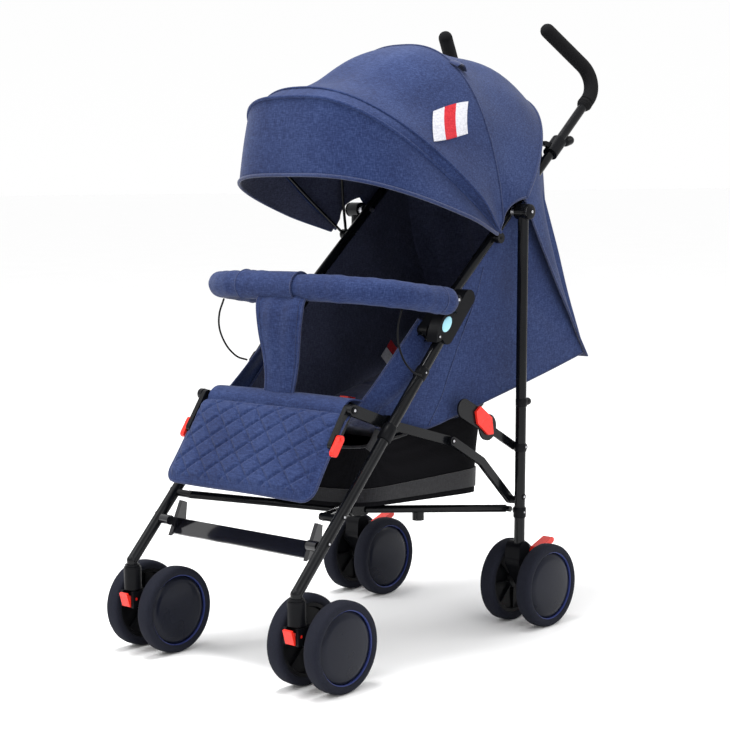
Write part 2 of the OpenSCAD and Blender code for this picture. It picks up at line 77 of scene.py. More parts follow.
def at(x, y, z):
    """Points given in millimetres about the middle of the wheelbase, as numbers or as arrays."""
    return np.stack(np.broadcast_arrays(x * MM, y * MM + SHIFT_Y, z * MM), -1)


# ---------------------------------------------------------------- materials
def new_material(name):
    mat = bpy.data.materials.new(name)
    mat.use_nodes = True
    return mat, mat.node_tree, mat.node_tree.nodes["Principled BSDF"]


def put(node, values):
    """Sets sockets of a node by name."""
    for name, value in values.items():
        node.inputs[name].default_value = value


def coordinates(tree, scale):
    coord = tree.nodes.new("ShaderNodeTexCoord")
    mapping = tree.nodes.new("ShaderNodeMapping")
    put(mapping, {"Scale": scale})
    tree.links.new(coord.outputs["Object"], mapping.inputs["Vector"])
    return mapping.outputs["Vector"]


def noise(tree, scale, detail=2.0, stretch=(1, 1, 1)):
    node = tree.nodes.new("ShaderNodeTexNoise")
    put(node, {"Scale": scale, "Detail": detail})
    tree.links.new(coordinates(tree, stretch), node.inputs["Vector"])
    return node.outputs["Fac"]


def ramp(tree, fac, stops):
    """A colour ramp; the value at a stop is a colour or one number for a grey."""
    node = tree.nodes.new("ShaderNodeValToRGB")
    while len(node.color_ramp.elements) < len(stops):
        node.color_ramp.elements.new(0.5)
    for element, (place, value) in zip(node.color_ramp.elements, stops):
        element.position = place
        element.color = (*(value if isinstance(value, tuple) else (value,) * 3), 1)
    tree.links.new(fac, node.inputs["Fac"])
    return node.outputs["Color"]


def vary(tree, shader, socket, fac, stops):
    tree.links.new(ramp(tree, fac, stops), shader.inputs[socket])


def math_node(tree, operation, a, b):
    node = tree.nodes.new("ShaderNodeMath")
    node.operation = operation
    for socket, value in zip(node.inputs, (a, b)):
        if isinstance(value, (int, float)):
            socket.default_value = value
        else:
            tree.links.new(value, socket)
    return node.outputs["Value"]


def bump(tree, shader, height, strength, distance):
    node = tree.nodes.new("ShaderNodeBump")
    put(node, {"Strength": strength, "Distance": distance})
    tree.links.new(height, node.inputs["Height"])
    tree.links.new(node.outputs["Normal"], shader.inputs["Normal"])


def woven(name, dark, mid, light, sheen=0.25, thread=1500.0):
    """Cloth with coloured slubs along both thread directions and a fine weave in its relief."""
    mat, tree, shader = new_material(name)

    def times(value, factor):
        return math_node(tree, "MULTIPLY", value, factor)

    warp = noise(tree, 620, 2, (1, 1, 0.2))
    weft = noise(tree, 620, 2, (0.2, 0.28, 1))
    cloud = noise(tree, 9, 3)
    heather = math_node(tree, "ADD", times(warp, 0.5), times(weft, 0.5))
    tone = math_node(tree, "ADD", heather, times(math_node(tree, "SUBTRACT", cloud, 0.5), 0.35))
    vary(tree, shader, "Base Color", tone, [(0.32, dark), (0.5, mid), (0.72, light)])
    vary(tree, shader, "Roughness", cloud, [(0.3, 0.78), (0.7, 0.92)])
    put(shader, {"Sheen Weight": sheen, "Sheen Roughness": 0.5, "Specular IOR Level": 0.12})
    height = math_node(tree, "ADD", heather, times(noise(tree, thread, 1), 0.4))
    bump(tree, shader, height, 0.5, 0.0006)
    return mat


def netting(name, dark, light):
    """Open mesh cloth: a dark ground with small regular holes in its relief and colour."""
    mat, tree, shader = new_material(name)
    cells = tree.nodes.new("ShaderNodeTexVoronoi")
    put(cells, {"Scale": 420, "Randomness": 0.15})
    tree.links.new(coordinates(tree, (1, 1, 1)), cells.inputs["Vector"])
    distance = cells.outputs["Distance"]
    vary(tree, shader, "Base Color", distance, [(0.15, dark), (0.55, light)])
    put(shader, {"Roughness": 0.85, "Specular IOR Level": 0.05})
    bump(tree, shader, distance, 0.6, 0.0008)
    return mat


def moulded(name, colour, roughness, grain=900.0, grain_depth=0.00006, coat=0.0, wear=0.35,
            specular=0.16):
    """Moulded plastic or powder coat: a fine grain, and gloss that varies where hands rub it."""
    mat, tree, shader = new_material(name)
    worn = noise(tree, 14, 4)
    pale = tuple(min(1.0, c * (1 + wear) + 0.004 * wear) for c in colour)
    vary(tree, shader, "Base Color", worn, [(0.35, colour), (0.75, pale)])
    low, high = max(0.04, roughness - 0.07), min(1.0, roughness + 0.08)
    vary(tree, shader, "Roughness", worn, [(0.3, low), (0.7, high)])
    put(shader, {"Specular IOR Level": specular, "Coat Weight": coat, "Coat Roughness": 0.08})
    bump(tree, shader, noise(tree, grain, 2), 0.5, grain_depth)
    return mat


def foam_material(name, colour):
    """Closed foam with dark pores."""
    mat, tree, shader = new_material(name)
    pores = noise(tree, 1100, 3)
    dark = tuple(c * 0.5 for c in colour)
    vary(tree, shader, "Base Color", pores, [(0.35, dark), (0.65, colour)])
    put(shader, {"Roughness": 0.9, "Specular IOR Level": 0.15})
    bump(tree, shader, pores, 0.8, 0.0005)
    return mat


def brushed(name, colour, roughness):
    """Metal with fine streaks across X."""
    mat, tree, shader = new_material(name)
    streaks = noise(tree, 500, 2, (0.05, 1, 1))
    pale = tuple(min(1.0, c * 1.15) for c in colour)
    vary(tree, shader, "Base Color", streaks, [(0.3, colour), (0.7, pale)])
    put(shader, {"Metallic": 1.0, "Roughness": roughness})
    bump(tree, shader, streaks, 0.2, 0.0001)
    return mat


DENIM = woven("navy_denim", (0.008, 0.014, 0.054), (0.016, 0.029, 0.092), (0.036, 0.056, 0.145), sheen=0.07)
BINDING = woven("navy_binding", (0.010, 0.016, 0.055), (0.018, 0.028, 0.082), (0.032, 0.048, 0.12),
                sheen=0.2)
LINING = woven("dark_lining", (0.017, 0.020, 0.042), (0.034, 0.039, 0.075), (0.062, 0.070, 0.125), sheen=0.1)
WEBBING = woven("webbing", (0.006, 0.006, 0.007), (0.012, 0.012, 0.014), (0.03, 0.03, 0.034), thread=900)
WHITE_CLOTH = woven("white_cloth", (0.40, 0.40, 0.44), (0.52, 0.52, 0.56), (0.62, 0.62, 0.66), sheen=0.05)
RED_CLOTH = woven("red_cloth", (0.32, 0.012, 0.02), (0.45, 0.018, 0.028), (0.56, 0.04, 0.045), sheen=0.05)
NETTING = netting("basket_netting", (0.001, 0.001, 0.0015), (0.0035, 0.0035, 0.0045))
GREY_BAND = woven("grey_band", (0.004, 0.004, 0.005), (0.009, 0.009, 0.011), (0.018, 0.018, 0.021),
                  thread=900)
POWDER = moulded("black_powder_coat", (0.002, 0.0023, 0.0032), 0.24, 1600, 0.00003, coat=0.16,
                 specular=0.1)
PLASTIC = moulded("black_plastic", (0.003, 0.0032, 0.0042), 0.38, specular=0.08)
GLOSS = moulded("gloss_black", (0.006, 0.006, 0.008), 0.10, 300, 0.00001, coat=0.8, wear=0.1)
RED = moulded("red_plastic", (0.72, 0.022, 0.012), 0.28, coat=0.3, wear=0.12)
DISC = moulded("wheel_disc", (0.0035, 0.0045, 0.010), 0.30, coat=0.1, specular=0.1)
RING = moulded("blue_ring", (0.022, 0.032, 0.125), 0.3, wear=0.2)
TYRE = foam_material("tyre_foam", (0.013, 0.0145, 0.024))
GRIP = foam_material("grip_foam", (0.006, 0.006, 0.007))
STEEL = brushed("zinc_steel", (0.42, 0.42, 0.44), 0.34)
BADGE = moulded("badge_blue", (0.30, 0.62, 0.72), 0.2, coat=0.6, wear=0.05)


# ---------------------------------------------------------------- mesh helpers
def wrap(name, mesh, work, material, smooth=True, sharp_deg=40):
    """Puts a bmesh into a mesh and the mesh into the scene, shaded soft up to an angle."""
    work.to_mesh(mesh)
    work.free()
    mesh.materials.append(material)
    if smooth:
        mesh.shade_smooth()
        mesh.set_sharp_from_angle(angle=math.radians(sharp_deg))
    obj = bpy.data.objects.new(name, mesh)
    bpy.context.scene.collection.objects.link(obj)
    return obj


def mesh_object(name, verts, faces, material, smooth=True, sharp_deg=40):
    mesh = bpy.data.meshes.new(name)
    mesh.from_pydata([tuple(map(float, v)) for v in verts], [], faces)
    work = bmesh.new()
    work.from_mesh(mesh)
    bmesh.ops.recalc_face_normals(work, faces=work.faces)
    return wrap(name, mesh, work, material, smooth, sharp_deg)


def finish_piece(obj, body="frame", replaced=()):
    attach(obj, body)
    if replaced:
        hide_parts(*replaced)
    return obj


def points_of(obj):
    return np.array([v.co for v in obj.data.vertices])


def set_points(obj, points):
    obj.data.vertices.foreach_set("co", points.ravel().astype(np.float32))


def unit(v):
    v = np.asarray(v, float)
    return v / np.linalg.norm(v)


def unit_rows(v):
    return v / np.linalg.norm(v, axis=1, keepdims=True)


def share(count, axes=1):
    """Even steps from 0 to 1 down the first of two axes, or of three."""
    return np.linspace(0, 1, count).reshape((-1,) + (1,) * axes)


def normals_of(grid):
    """Unit normals of a grid of points, from its two edge directions."""
    n = np.cross(np.gradient(grid, axis=0), np.gradient(grid, axis=1))
    return n / np.maximum(np.linalg.norm(n, axis=2, keepdims=True), 1e-9)


def slab(name, front, back, material, sharp_deg=40):
    """A closed solid between two grids of points of the same shape."""
    rows, cols, _ = front.shape
    verts = np.concatenate([front.reshape(-1, 3), back.reshape(-1, 3)])
    base = rows * cols

    def k(i, j):
        return i * cols + j

    faces = []
    for i in range(rows - 1):
        for j in range(cols - 1):
            quad = (k(i, j), k(i, j + 1), k(i + 1, j + 1), k(i + 1, j))
            faces.append(quad)
            faces.append(tuple(base + q for q in reversed(quad)))
    rim = [k(0, j) for j in range(cols)] + [k(i, cols - 1) for i in range(1, rows)]
    rim += [k(rows - 1, j) for j in range(cols - 2, -1, -1)] + [k(i, 0) for i in range(rows - 2, 0, -1)]
    for a, b in zip(rim, rim[1:] + rim[:1]):
        faces.append((a, base + a, base + b, b))
    return mesh_object(name, verts, faces, material, sharp_deg=sharp_deg)


def cloth(name, grid, thickness, material):
    """A sheet of even thickness around a grid of points."""
    n = normals_of(grid) * thickness / 2
    return slab(name, grid + n, grid - n, material)


def as_sheet(piece):
    """Returns the piece unchanged."""
    return piece


def sheet_piece(name, grid, thickness, material=DENIM,
                replaced=()):
    """A cloth on the frame, its thickness in millimetres."""
    piece = as_sheet(cloth(name, grid, thickness * MM, material))
    finish_piece(piece, "frame", replaced)


def frames_along(path, closed=False):
    """The points of a path with their directions ahead, sideways and up, without twist."""
    path = np.asarray(path, float)
    ahead = np.roll(path, -1, axis=0) if closed else np.vstack([path[1:], path[-1:]])
    behind = np.roll(path, 1, axis=0) if closed else np.vstack([path[:1], path[:-1]])
    d = unit_rows(ahead - behind)
    side = np.zeros_like(d)
    start = np.array([0, 0, 1.0]) if abs(d[0][2]) < 0.9 else np.array([1.0, 0, 0])
    s = np.cross(d[0], start)
    for i in range(len(path)):
        s = unit(s - d[i] * np.dot(s, d[i]))
        side[i] = s
    return path, d, side, np.cross(side, d)


def skin(name, rings, material, closed=False, sharp_deg=55):
    """Joins rings of points in turn. Closed joins the last to the first; open ends are capped."""
    total, count = len(rings), len(rings[0])
    faces = []
    for i in range(total if closed else total - 1):
        a, b = i * count, (i + 1) % total * count
        faces += [(a + k, b + k, b + (k + 1) % count, a + (k + 1) % count) for k in range(count)]
    if not closed:
        faces += [tuple(range(count)), tuple(reversed(range((total - 1) * count, total * count)))]
    return mesh_object(name, np.concatenate(rings), faces, material, sharp_deg=sharp_deg)


def tube(name, path, radius, material, sides, closed=False, round_ends=False):
    """A tube along a path, with one radius or one for each point."""
    path, d, side, top = frames_along(path, closed)
    count = len(path)
    radius = np.broadcast_to(np.asarray(radius, float), (count,))
    turn = np.linspace(0, 2 * math.pi, sides, endpoint=False)[:, None]
    plan = [(i, 0.0, 1.0) for i in range(count)]
    if round_ends:
        cap = [(math.sqrt(1 - s * s), max(s, 0.02)) for s in (0.0, 0.5, 0.8, 0.95)]
        plan = [(0, -o, s) for o, s in cap] + plan + [(count - 1, o, s) for o, s in reversed(cap)]
    rings = [path[i] + d[i] * offset * radius[i]
             + radius[i] * shrink * (np.cos(turn) * side[i] + np.sin(turn) * top[i])
             for i, offset, shrink in plan]
    return skin(name, rings, material, closed)


def binding(name, path, radius, body="frame", sides=8, round_ends=True):
    """A sewn edge or seam: a thin round band of binding, its radius in millimetres."""
    return finish_piece(tube(name, path, radius * MM, BINDING, sides, round_ends=round_ends), body)


def ribbon(name, path, width, thickness, up, material):
    """Flat webbing: a band of even width along a path, lying across the up direction."""
    path, d, _, _ = frames_along(path)
    side = unit_rows(np.cross(d, np.broadcast_to(np.asarray(up, float), path.shape)))
    lift = np.cross(side, d)
    across = np.linspace(-0.5, 0.5, 7)
    grid = path[:, None, :] + across[None, :, None] * width * side[:, None, :]
    crown = (1 - (2 * across) ** 6)[None, :, None] * thickness / 2
    return slab(name, grid + lift[:, None, :] * crown, grid - lift[:, None, :] * crown, material)


def lathe(name, profile, axis_point, material, segments=72, sharp_deg=30, sign=1):
    """Turns a closed [x, r] profile, in millimetres, about the X direction through a point."""
    turn = np.linspace(0, 2 * math.pi, segments, endpoint=False)
    rings = [axis_point + np.stack([np.full(segments, sign * x * MM), r * MM * np.cos(turn),
                                    r * MM * np.sin(turn)], 1) for x, r in profile]
    return skin(name, rings, material, True, sharp_deg)


def dome(name, point, radius, height, material, sign=1, segments=24):
    """A rivet or bolt head on a face that looks along X."""
    steps = 6
    profile = [(0, 0.02), (0, radius)]
    for i in range(1, steps + 1):
        a = math.pi / 2 * i / steps
        profile.append((height * math.sin(a), max(0.02, radius * math.cos(a))))
    return lathe(name, profile, point, material, segments, 50, sign)


def smooth_curve(points, steps=12):
    """A Catmull-Rom curve through points."""
    p = np.asarray(points, float)
    p = np.vstack([2 * p[0] - p[1], p, 2 * p[-1] - p[-2]])
    out = []
    for i in range(1, len(p) - 2):
        for t in np.linspace(0, 1, steps, endpoint=False):
            out.append(0.5 * (2 * p[i] + (p[i + 1] - p[i - 1]) * t
                              + (2 * p[i - 1] - 5 * p[i] + 4 * p[i + 1] - p[i + 2]) * t * t
                              + (3 * p[i] - p[i - 1] - 3 * p[i + 1] + p[i + 2]) * t ** 3))
    out.append(p[-2])
    return np.array(out)


def ease(x, low, high):
    t = np.clip((np.asarray(x, float) - low) / (high - low), 0, 1)
    return t * t * (3 - 2 * t)


# The cushions' simulation: air pressure, the longest move in metres, and how many frames it runs
PRESSURE, LONGEST_MOVE, FRAMES = 4.0, 0.008, 18


def inflate(piece):
    """Swells a closed mesh with cloth simulation, and limits how far each point may move."""
    for other in bpy.context.selected_objects:
        other.select_set(False)
    bpy.context.view_layer.objects.active = piece
    piece.select_set(True)
    piece.data.remesh_voxel_size = 0.006
    bpy.ops.object.voxel_remesh()
    start = points_of(piece)
    modifier = piece.modifiers.new("Cloth", "CLOTH")
    settings = modifier.settings
    settings.quality = 5
    settings.mass = 0.15
    settings.use_pressure = True
    settings.uniform_pressure_force = PRESSURE
    settings.tension_stiffness = settings.compression_stiffness = 25
    settings.shear_stiffness = 15
    settings.bending_stiffness = 1.5
    settings.effector_weights.gravity = 0
    modifier.point_cache.frame_start = 1
    modifier.point_cache.frame_end = FRAMES
    scene = bpy.context.scene
    for step in range(1, FRAMES + 1):
        scene.frame_set(step)
    end = points_of(piece.evaluated_get(bpy.context.evaluated_depsgraph_get()))
    piece.modifiers.remove(modifier)
    scene.frame_set(1)
    move = end - start
    move *= np.minimum(1, LONGEST_MOVE / np.maximum(np.linalg.norm(move, axis=1, keepdims=True), 1e-9))
    set_points(piece, start + move)
    subdivision = piece.modifiers.new("Subdivision", "SUBSURF")
    subdivision.levels = subdivision.render_levels = 1
    bpy.ops.object.modifier_apply(modifier=subdivision.name)
    piece.data.shade_smooth()


# ---------------------------------------------------------------- camera, light and floor
# The camera, fitted to the photo: its direction and roll in degrees, and its place
VIEW = (41.79, 6.37, -0.61)
CAMERA_PLACE = (1985.6, -2172.1, 780.6)


def add_camera():
    azimuth, elevation, roll = (math.radians(a) for a in VIEW)
    level = math.cos(elevation)
    back = Vector((level * math.sin(azimuth), -level * math.cos(azimuth), math.sin(elevation)))
    right = Vector((math.cos(azimuth), math.sin(azimuth), 0))
    up = back.cross(right)
    rolled = right * math.cos(roll) + up * math.sin(roll)
    up = back.cross(rolled)
    data = bpy.data.cameras.new("camera")
    data.lens = 88.9
    data.sensor_width = 36
    data.clip_end = 50
    camera = bpy.data.objects.new("camera", data)
    bpy.context.scene.collection.objects.link(camera)
    turn = Matrix((rolled, up, back)).transposed().to_4x4()
    camera.matrix_world = Matrix.Translation(Vector(at(*CAMERA_PLACE))) @ turn
    bpy.context.scene.camera = camera


def add_light(name, place, target, size, power):
    data = bpy.data.lights.new(name, "AREA")
    data.size = size
    data.energy = power
    lamp = bpy.data.objects.new(name, data)
    bpy.context.scene.collection.objects.link(lamp)
    lamp.location = place
    lamp.rotation_euler = (Vector(target) - Vector(place)).to_track_quat("-Z", "Y").to_euler()


def add_studio():
    mat, tree, shader = new_material("floor")
    put(shader, {"Roughness": 0.95, "Specular IOR Level": 0.0})
    vary(tree, shader, "Base Color", noise(tree, 3), [(0.3, 0.96), (0.7, 0.97)])
    half = 60.0
    corners = [(-half, -half, 0), (half, -half, 0), (half, half, 0), (-half, half, 0)]
    floor = mesh_object("floor", corners, [(0, 1, 2, 3)], mat, smooth=False)
    add_world()
    aim = (0, 0, 0.5)
    add_light("key", (-1.6, -2.4, 3.0), aim, 1.5, 40)
    add_light("fill", (2.8, -1.2, 1.8), aim, 2.0, 19)
    add_light("rim", (1.6, 2.6, 2.6), (0, 0, 0.6), 1.6, 19)
    add_light("top", (-0.2, -0.5, 3.2), aim, 1.0, 85)
    view = bpy.context.scene.view_settings
    view.view_transform = "Standard"
    view.look = "None"
    view.exposure = 0.0


def add_world():
    """A white room: white where it meets the floor, a little darker above, brightest overhead."""
    world = bpy.data.worlds.new("studio")
    world.use_nodes = True
    tree = world.node_tree
    coord = tree.nodes.new("ShaderNodeTexCoord")
    split = tree.nodes.new("ShaderNodeSeparateXYZ")
    tree.links.new(coord.outputs["Generated"], split.inputs["Vector"])
    sky = ramp(tree, split.outputs["Z"], [(0.0, 1.0), (0.35, 0.95), (1.0, 1.08)])
    background = tree.nodes["Background"]
    tree.links.new(sky, background.inputs["Color"])
    put(background, {"Strength": 1.0})
    bpy.context.scene.world = world


# ---------------------------------------------------------------- hood
# Stations of the hood, from the rear edge to the visor edge: the bow's angle from the
# rearward direction, its half width, its reach, and the power of its superellipse.
HOOD = [(49.5, 190, 319, 2.4), (98, 184, 322, 2.55), (140, 204, 378, 2.4), (144.2, 184, 391, 3.0),
        (161.7, 203, 341, 3.2)]
REAR, MID, BAND, FRONT, EDGE = range(5)
# How far round its arch each station starts, in degrees
HOOD_START = [12, 2.5, 1.2, 0.8, 0.8]
# How far the cloth between two seams stands off the straight line, in millimetres: an even
# bulge, and a part that lifts the first half and drops the second
HOOD_BULGE = [(20, 8), (-6, 8), (0, 0), (3, 0)]
# How far its sides are drawn in between two seams
HOOD_SAG = [9, 8, 0, 0]
# Within the second distance from the hinge the cloth is drawn in towards the first half width
HINGE_X, HINGE_NEAR = 182.0, 120.0


def hood_point(angle, half_w, reach, power, turn):
    """Points on the superellipse of one bow."""
    c, s = np.cos(turn), np.sin(turn)
    r = reach * np.abs(s) ** (2 / power)
    tilt = math.radians(angle)
    return np.stack([half_w * np.sign(c) * np.abs(c) ** (2 / power), r * math.cos(tilt),
                     r * math.sin(tilt)], -1) * MM + HOOD_CENTRE


def hood_arch(station, count=81):
    """Points along one arch of the hood; whole stations lie on a seam, others between two seams."""
    low = min(int(station), EDGE - 1)
    f = station - low
    start = math.radians(HOOD_START[low] * (1 - f) + HOOD_START[low + 1] * f)
    turn = np.linspace(start, math.pi - start, count)
    line = hood_point(*HOOD[low], turn) * (1 - f) + hood_point(*HOOD[low + 1], turn) * f
    crown = np.sin(turn) ** 2
    even, shift = HOOD_BULGE[low]
    bulge = (even * math.sin(math.pi * f) + shift * math.sin(2 * math.pi * f)) * MM
    mid = np.radians(HOOD[low][0] * (1 - f) + HOOD[low + 1][0] * f)
    line[:, 1] += bulge * crown * np.cos(mid)
    line[:, 2] += bulge * crown * np.sin(mid)
    sag = HOOD_SAG[low] * math.sin(math.pi * f) * MM
    line[:, 0] -= np.sign(line[:, 0]) * sag * (1 - crown) * crown * 3
    radius = np.hypot(line[:, 1] - HOOD_PIVOT[1], line[:, 2] - HOOD_PIVOT[2]) / MM
    width = np.abs(line[:, 0]) / MM
    drawn = np.where(width > HINGE_X, HINGE_X + (width - HINGE_X) * ease(radius, 0, HINGE_NEAR), width)
    line[:, 0] = np.sign(line[:, 0]) * drawn * MM
    return line


def blend_hood(piece):
    """Bakes the piece's transform into its mesh."""
    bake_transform(piece)


def build_hood():
    # Rows crowd at the seams so that the sheet creases there
    stations = np.concatenate([np.linspace(REAR, MID, 17)[:-1], np.linspace(MID, BAND, 17)[:-1],
                               [2, 2.5], np.linspace(FRONT, EDGE, 11)])
    grid = np.array([hood_arch(s) for s in stations])
    rng = np.random.default_rng(3)
    phase = rng.uniform(0, 6.28, 4)
    u = np.linspace(0, math.pi, grid.shape[1])[None, :]
    v = stations[:, None]
    between = np.abs(np.sin(np.pi * v)) * (v < BAND)
    waves = np.sin(9 * u + 2.2 * v + phase[0]) + 0.6 * np.sin(17 * u - 3 * v + phase[1])
    n = normals_of(grid)
    # The normals have to point up at the crown
    if n[8, 40, 2] < 0:
        n = -n
    grid = grid + n * (1.1 * MM * between * waves)[:, :, None]
    outer = slab("hood_cloth", grid + n * 0.6 * MM, grid - n * 0.6 * MM, DENIM)
    as_sheet(outer)
    inner = grid - n * 2.2 * MM
    lining = slab("hood_lining", inner + n * 0.4 * MM, inner - n * 0.4 * MM, LINING)
    as_sheet(lining)
    pieces = [outer, lining]
    seams = [("rear_edge", REAR, 2.6, BINDING), ("mid_seam", MID, 1.7, BINDING),
             ("band_seam", BAND, 2.4, DENIM), ("front_seam", FRONT, 3.0, DENIM),
             ("visor_edge", EDGE, 3.0, BINDING)]
    for name, station, radius, cover in seams:
        path = hood_arch(station) + outward(hood_arch(station)) * 0.9 * MM
        pieces.append(tube("hood_" + name, path, radius * MM, cover, 10, round_ends=True))
    for k, name in ENDS:
        pieces.append(tube(f"hood_hem_{name}", grid[:, k], 2.2 * MM, BINDING, 8, round_ends=True))
    pieces.append(hood_loop())
    pieces += hood_patch()
    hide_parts("canopy_cover")
    for piece in pieces:
        blend_hood(piece)


def outward(points):
    """Directions away from the middle of the hood."""
    return unit_rows(points - HOOD_CENTRE)


# Where the tab stands on the middle seam, as a share of its arch from the left end
TAB_SHARE = 0.32
# Corners of the striped patch as [station, share of the arch], from its front top corner round
# to its low front one
PATCH = ((1.56, 0.242), (1.12, 0.215), (1.36, 0.160), (1.90, 0.189))


def hood_loop():
    """The little tab of cloth that stands on the middle seam, left of its top."""
    spot, behind = hood_spot(1.0, TAB_SHARE), hood_spot(0.93, TAB_SHARE)
    up = outward(spot[None])[0]
    back = unit(behind - spot)
    path = [spot + (back * along + up * lift) * MM
            for along, lift in ((-4, 1), (-2, 4), (6, 8), (17, 7), (24, 0))]
    return ribbon("hood_loop", smooth_curve(path, 6), 22 * MM, 2.4 * MM, up, BINDING)


def hood_spot(station, part):
    """The point a given share along an arch."""
    last = 240
    arch = hood_arch(station, last + 1)
    low = int(part * last)
    return arch[low] * (1 - part * last + low) + arch[low + 1] * (part * last - low)


def hood_patch():
    """A generic patch of three upright stripes on the left side, between the band and the middle seam."""
    out = []
    corners = np.array(PATCH)
    stripes = (("patch_white_a", WHITE_CLOTH), ("patch_red", RED_CLOTH), ("patch_white_b", WHITE_CLOTH))
    for k, (name, material) in enumerate(stripes):
        rows = []
        for v in np.linspace(0, 1, 13):
            near = corners[0] * (1 - v) + corners[3] * v
            far = corners[1] * (1 - v) + corners[2] * v
            rows.append([hood_spot(*(near * (1 - u) + far * u))
                         for u in np.linspace(k / 3, (k + 1) / 3, 6)])
        grid = np.array(rows)
        n = outward(grid.reshape(-1, 3)).reshape(grid.shape)
        out.append(slab(name, grid + n * 2.6 * MM, grid + n * 1.2 * MM, material))
    return out


# ---------------------------------------------------------------- bumper bar
# The bar as the CAD draws it: its left end, how far it reaches forward, and how far it rises
BAR_END, BAR_FORWARD, BAR_RISE = (204, 20, 564), 157, 26
# The strap's rows: its middle in x, its half width, and its y and z, from under the bar down to
# the seat
STRAP = ((6, 50, -147, 578), (7, 50, -157, 566), (8, 48, -161, 545), (5, 43.5, -158, 512),
         (1, 38, -151, 478), (-3, 33.5, -148, 446), (-5, 31.5, -150, 424), (-5, 31, -150, 414))
SLEEVE_X = (-92, 33)


def bar_path(count):
    """The same squarish arch as the CAD's bar, from its left end to its right end."""
    turn = np.linspace(math.radians(1), math.radians(179), count)
    k = np.sin(turn) ** 0.5
    x, y, z = BAR_END
    across = np.sign(np.cos(turn)) * np.abs(np.cos(turn)) ** 0.5
    return at(x * across, y - BAR_FORWARD * k, z + BAR_RISE * k)


def build_bar():
    x, y, z = BAR_END
    path = np.vstack([at(x, y, z), bar_path(161), at(-x, y, z)])
    lengths = np.concatenate([[0], np.cumsum(np.linalg.norm(np.diff(path, axis=0), axis=1))])
    even = np.linspace(0.010, lengths[-1] - 0.010, 260)
    path = np.stack([np.interp(even, lengths, path[:, i]) for i in range(3)], 1)
    t = even / lengths[-1]
    radius = 21.2 + 0.5 * np.sin(t * 61) * np.sin(t * 23 + 1) + 0.35 * np.sin(t * 140)
    body = tube("bar_cover", path, radius * MM, DENIM, 40, round_ends=True)
    # Shallow lengthwise wrinkles
    co = points_of(body)
    wobble = 0.5 * np.sin(co[:, 0] * 90 + co[:, 2] * 260) * np.sin(co[:, 0] * 31 + 1.3) * MM
    co[:, 1] += wobble * 0.6
    co[:, 2] += wobble
    set_points(body, co)
    finish_piece(body, replaced=["bumper_bar"])
    ring_seam("bar_end_seam_left", path[7:20], 0, 21.4)
    ring_seam("bar_end_seam_right", path[-20:-7], -1, 21.4)
    # The seam along the underside of the cover
    under = path[8:-8] + np.array([0, 4, -21.0]) * MM
    binding("bar_seam", under, 1.3, sides=6, round_ends=False)


def build_crotch_strap():
    """A sleeve round the bar, off centre as sewn, and the wide strap that hangs from it to the seat."""
    path = bar_path(601)
    inside = (path[:, 0] > SLEEVE_X[0] * MM) & (path[:, 0] < SLEEVE_X[1] * MM)
    line = path[inside][::6]
    along = np.linspace(0, 1, len(line))
    radius = 23.3 + 0.5 * np.sin(along * 19) + 0.9 * (np.abs(2 * along - 1) ** 12)
    sleeve = tube("crotch_sleeve", line, radius * MM, DENIM, 44)
    finish_piece(sleeve, replaced=["crotch_strap"])
    for k, name in ENDS:
        ring_seam(f"crotch_sleeve_seam_{name}", line, k, 23.9)
    rows = smooth_curve(STRAP, 8)
    middle, half, y, z = rows.T[:, :, None]
    across = np.linspace(-1, 1, 31)
    grid = at(middle + across * half, y - 2.5 * (1 - across ** 2), z)
    # Slack cloth creases a little under the bar
    depth = share(len(rows))
    grid[:, :, 1] += 1.4 * MM * np.sin(across * 7 + 3 * depth) * (1 - depth)
    sheet_piece("crotch_flap", grid, 3.2)
    for k, name in ((2, "right"), (-3, "left")):
        stitch = grid[:, k] + np.array([0, -1.9, 0]) * MM
        binding(f"crotch_stitch_{name}", stitch, 0.6, sides=6, round_ends=False)
    for k, name in ((0, "right"), (-1, "left")):
        binding(f"crotch_edge_{name}", grid[:, k], 2.0)


def ring_seam(name, line, index, radius):
    """A sewn ring round a padded tube, square to its path."""
    step = unit(line[1] - line[0] if index == 0 else line[-1] - line[-2])
    a = unit(np.cross(step, (0, 0, 1.0)))
    b = np.cross(a, step)
    turn = np.linspace(0, 2 * math.pi, 48, endpoint=False)[:, None]
    circle = line[index] + radius * MM * (a * np.cos(turn) + b * np.sin(turn))
    finish_piece(tube(name, circle, 1.1 * MM, BINDING, 8, closed=True))


